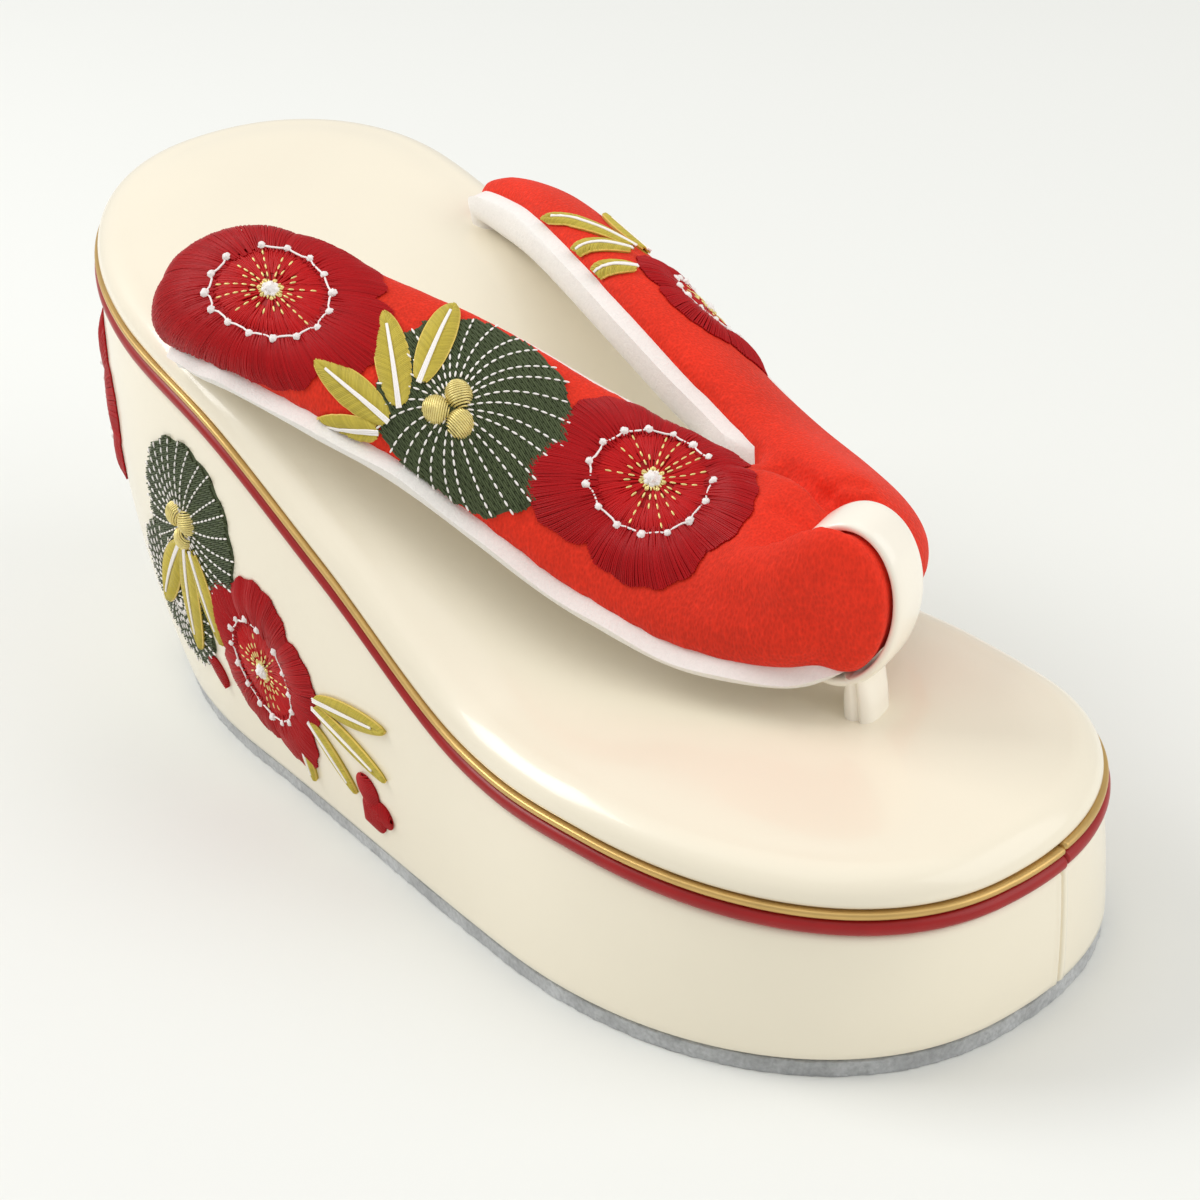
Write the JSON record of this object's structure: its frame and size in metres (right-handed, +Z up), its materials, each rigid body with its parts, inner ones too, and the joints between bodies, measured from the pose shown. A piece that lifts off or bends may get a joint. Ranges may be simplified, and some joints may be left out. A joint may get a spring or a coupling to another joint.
{
  "type": "zori sandal",
  "caption": "Right zori sandal with a padded two-strap upper in orange-red crepe, embroidered with pine, bamboo and plum, on a high cream wedge sole.",
  "frame": {"origin": "middle of the footprint's bounding box, on the floor plane under the outsole", "axes": "+Z up, toe towards -Y, heel towards +Y, the wearer's right (outer) side towards -X"},
  "size_m": [0.0942, 0.241, 0.1065],
  "materials": {
    "outsole_suede": "rough suede side",
    "wall_leather": "smooth, pearl sheen",
    "red_piping": "gloss",
    "gold_strip": "metallic gold foil",
    "top_leather": "smooth, pearl sheen",
    "strap_crepe": "crepe weave with embroidery",
    "lining_felt": "felted",
    "post_leather": "smooth, satin"
  },
  "bodies": {
    "root": {"outsole": "outsole_suede", "platform": "wall_leather", "red_piping": "red_piping", "gold_welt": "gold_strip", "top_cushion": "top_leather", "strap_cover": "strap_crepe", "strap_lining": "lining_felt", "toe_post": "post_leather"}
  },
  "joints": []
}
